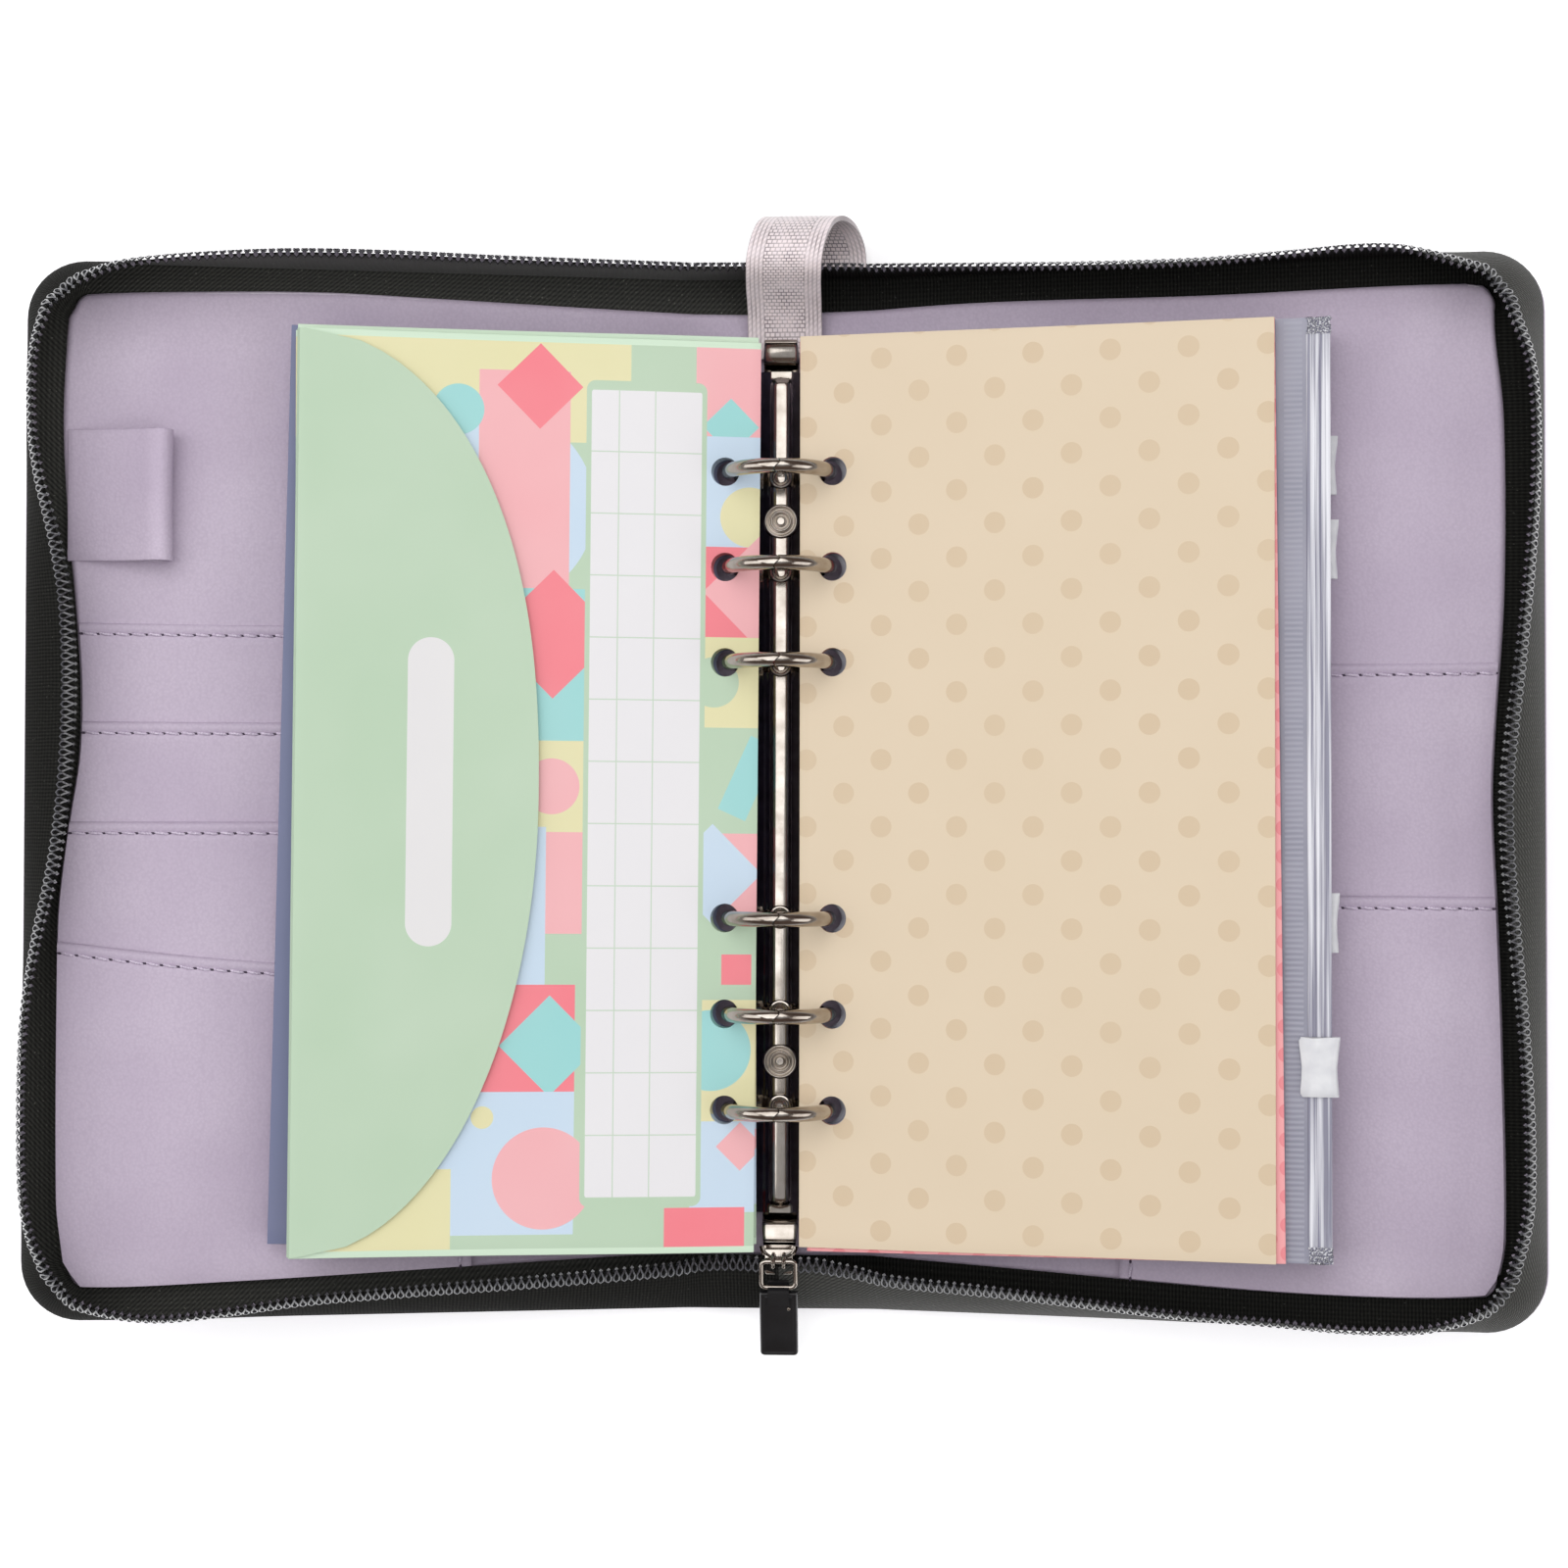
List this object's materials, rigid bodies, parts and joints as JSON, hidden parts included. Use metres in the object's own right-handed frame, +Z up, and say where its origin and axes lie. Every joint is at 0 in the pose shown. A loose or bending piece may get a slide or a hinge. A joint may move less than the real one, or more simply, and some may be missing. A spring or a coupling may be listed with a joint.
{
  "type": "cash envelope wallet",
  "caption": "Zip-round ring binder wallet lying open, with budget envelopes and a card divider on six rings, clear zip pouches, sewn card pockets, a pen loop and a wrist strap.",
  "frame": {"origin": "middle of the spine's flat underside, which the open wallet rests on", "axes": "+X across the open wallet towards the back cover, +Y along the spine towards the strap, +Z up"},
  "size_m": [0.2986, 0.2296, 0.0424],
  "materials": {
    "lilac_pu_leather": "soft grained polyurethane leather",
    "grey_board": "pressed grey board",
    "black_zip_tape": "woven polyester tape",
    "black_zip_coil": "moulded nylon coil",
    "polished_nickel": "polished nickel plated steel",
    "woven_ribbon": "woven metallic ribbon",
    "printed_paper": "printed matt paper",
    "slate_paper": "matt paper",
    "cream_card": "printed matt card",
    "pink_paper": "printed matt paper",
    "clear_film": "clear flexible vinyl film",
    "milky_plastic": "moulded milky polypropylene",
    "black_pu_leather": "grained polyurethane leather"
  },
  "bodies": {
    "root": {"spine_skin": "lilac_pu_leather", "spine_board": "grey_board", "spine_lining": "lilac_pu_leather", "spine_tape_bottom": "black_zip_tape", "spine_tape_top": "black_zip_tape", "wrist_strap": "woven_ribbon", "ring_cover_plate": "polished_nickel", "rivet_top": "polished_nickel", "rivet_bottom": "polished_nickel", "zip_slider": "polished_nickel"},
    "front_cover": {"front_cover_skin": "lilac_pu_leather", "front_cover_board": "grey_board", "front_cover_lining": "lilac_pu_leather", "card_pocket_1": "lilac_pu_leather", "card_pocket_2": "lilac_pu_leather", "card_pocket_3": "lilac_pu_leather", "slip_pocket": "lilac_pu_leather", "pen_loop": "lilac_pu_leather", "front_zip_tape": "black_zip_tape", "front_zip_coil": "black_zip_coil"},
    "back_cover": {"back_cover_skin": "lilac_pu_leather", "back_cover_board": "grey_board", "back_cover_lining": "lilac_pu_leather", "back_pocket_1": "lilac_pu_leather", "back_pocket_2": "lilac_pu_leather", "back_zip_tape": "black_zip_tape", "back_zip_coil": "black_zip_coil"},
    "left_rings": {"hinge_plate_left": "polished_nickel", "ring_left_1": "polished_nickel", "ring_left_2": "polished_nickel", "ring_left_3": "polished_nickel", "ring_left_4": "polished_nickel", "ring_left_5": "polished_nickel", "ring_left_6": "polished_nickel"},
    "right_rings": {"hinge_plate_right": "polished_nickel", "ring_right_1": "polished_nickel", "ring_right_2": "polished_nickel", "ring_right_3": "polished_nickel", "ring_right_4": "polished_nickel", "ring_right_5": "polished_nickel", "ring_right_6": "polished_nickel"},
    "lever_top": {"lever_top": "polished_nickel"},
    "lever_bottom": {"lever_bottom": "polished_nickel"},
    "zip_bail": {"zip_bail": "polished_nickel"},
    "zip_pull_tab": {"zip_pull_tab": "black_pu_leather"},
    "front_leaves": {"envelope_2": "printed_paper", "envelope_3": "printed_paper", "envelope_4": "slate_paper"},
    "top_envelope": {"envelope_1": "printed_paper"},
    "back_leaves": {"envelope_5": "pink_paper", "envelope_6": "printed_paper", "zip_pouch_1": "clear_film", "zip_pouch_2": "clear_film", "zip_pouch_3": "clear_film", "zip_pouch_4": "clear_film"},
    "divider": {"divider": "cream_card"},
    "pouch_slider_1": {"pouch_slider_1": "milky_plastic"},
    "pouch_slider_2": {"pouch_slider_2": "milky_plastic"},
    "pouch_slider_3": {"pouch_slider_3": "milky_plastic"},
    "pouch_slider_4": {"pouch_slider_4": "milky_plastic"}
  },
  "joints": [
    {"name": "front_cover_hinge", "type": "hinge", "parent": "root", "child": "front_cover", "pos_m": [-0.019, 0, 0.0017], "axis": [0, 1, 0], "range_deg": [-10, 80]},
    {"name": "back_cover_hinge", "type": "hinge", "parent": "root", "child": "back_cover", "pos_m": [0.019, 0, 0.0017], "axis": [0, -1, 0], "range_deg": [-10, 80]},
    {"name": "front_leaves_swing", "type": "hinge", "parent": "root", "child": "front_leaves", "pos_m": [0, 0, 0.0155], "axis": [0, 1, 0], "range_deg": [-10, 80]},
    {"name": "back_leaves_swing", "type": "hinge", "parent": "root", "child": "back_leaves", "pos_m": [0, 0, 0.0155], "axis": [0, -1, 0], "range_deg": [-10, 80]},
    {"name": "top_envelope_turn", "type": "hinge", "parent": "front_leaves", "child": "top_envelope", "pos_m": [0, 0, 0.0155], "axis": [0, -1, 0], "range_deg": [-158, 0]},
    {"name": "divider_turn", "type": "hinge", "parent": "back_leaves", "child": "divider", "pos_m": [0, 0, 0.0155], "axis": [0, 1, 0], "range_deg": [-158, 0]},
    {"name": "ring_open", "type": "hinge", "parent": "root", "child": "left_rings", "pos_m": [-0.0059, 0, 0.00385], "axis": [0, 1, 0], "range_deg": [-8, 0]},
    {"name": "ring_open_right", "type": "hinge", "parent": "root", "child": "right_rings", "pos_m": [0.0059, 0, 0.00385], "axis": [0, 1, 0], "range_deg": [0, 8]},
    {"name": "lever_top_press", "type": "hinge", "parent": "root", "child": "lever_top", "pos_m": [0, 0.086, 0.0043], "axis": [1, 0, 0], "range_deg": [-11, 0]},
    {"name": "lever_bottom_press", "type": "hinge", "parent": "root", "child": "lever_bottom", "pos_m": [0, -0.086, 0.0043], "axis": [1, 0, 0], "range_deg": [0, 11]},
    {"name": "zip_bail_turn", "type": "hinge", "parent": "root", "child": "zip_bail", "pos_m": [0, -0.0937, 0.01385], "axis": [1, 0, 0], "range_deg": [-110, 0]},
    {"name": "pull_tab_turn", "type": "hinge", "parent": "zip_bail", "child": "zip_pull_tab", "pos_m": [0, -0.09888, 0.0134], "axis": [1, 0, 0], "range_deg": [-60, 0]},
    {"name": "pouch_slide_1", "type": "slide", "parent": "back_leaves", "child": "pouch_slider_1", "axis": [0, 1, 0], "range_m": [-0.028, 0.134]},
    {"name": "pouch_slide_2", "type": "slide", "parent": "back_leaves", "child": "pouch_slider_2", "axis": [0, 1, 0], "range_m": [-0.0554, 0.1066]},
    {"name": "pouch_slide_3", "type": "slide", "parent": "back_leaves", "child": "pouch_slider_3", "axis": [0, 1, 0], "range_m": [-0.1274, 0.0346]},
    {"name": "pouch_slide_4", "type": "slide", "parent": "back_leaves", "child": "pouch_slider_4", "axis": [0, 1, 0], "range_m": [-0.144, 0.018]}
  ],
  "couplings": [
    {"joint": "front_leaves_swing", "follows": "front_cover_hinge", "ratio": 0.9875},
    {"joint": "back_leaves_swing", "follows": "back_cover_hinge", "ratio": 0.9875},
    {"joint": "ring_open_right", "follows": "ring_open", "ratio": -1},
    {"joint": "lever_top_press", "follows": "ring_open", "ratio": 1.3},
    {"joint": "lever_bottom_press", "follows": "ring_open", "ratio": -1.3}
  ]
}
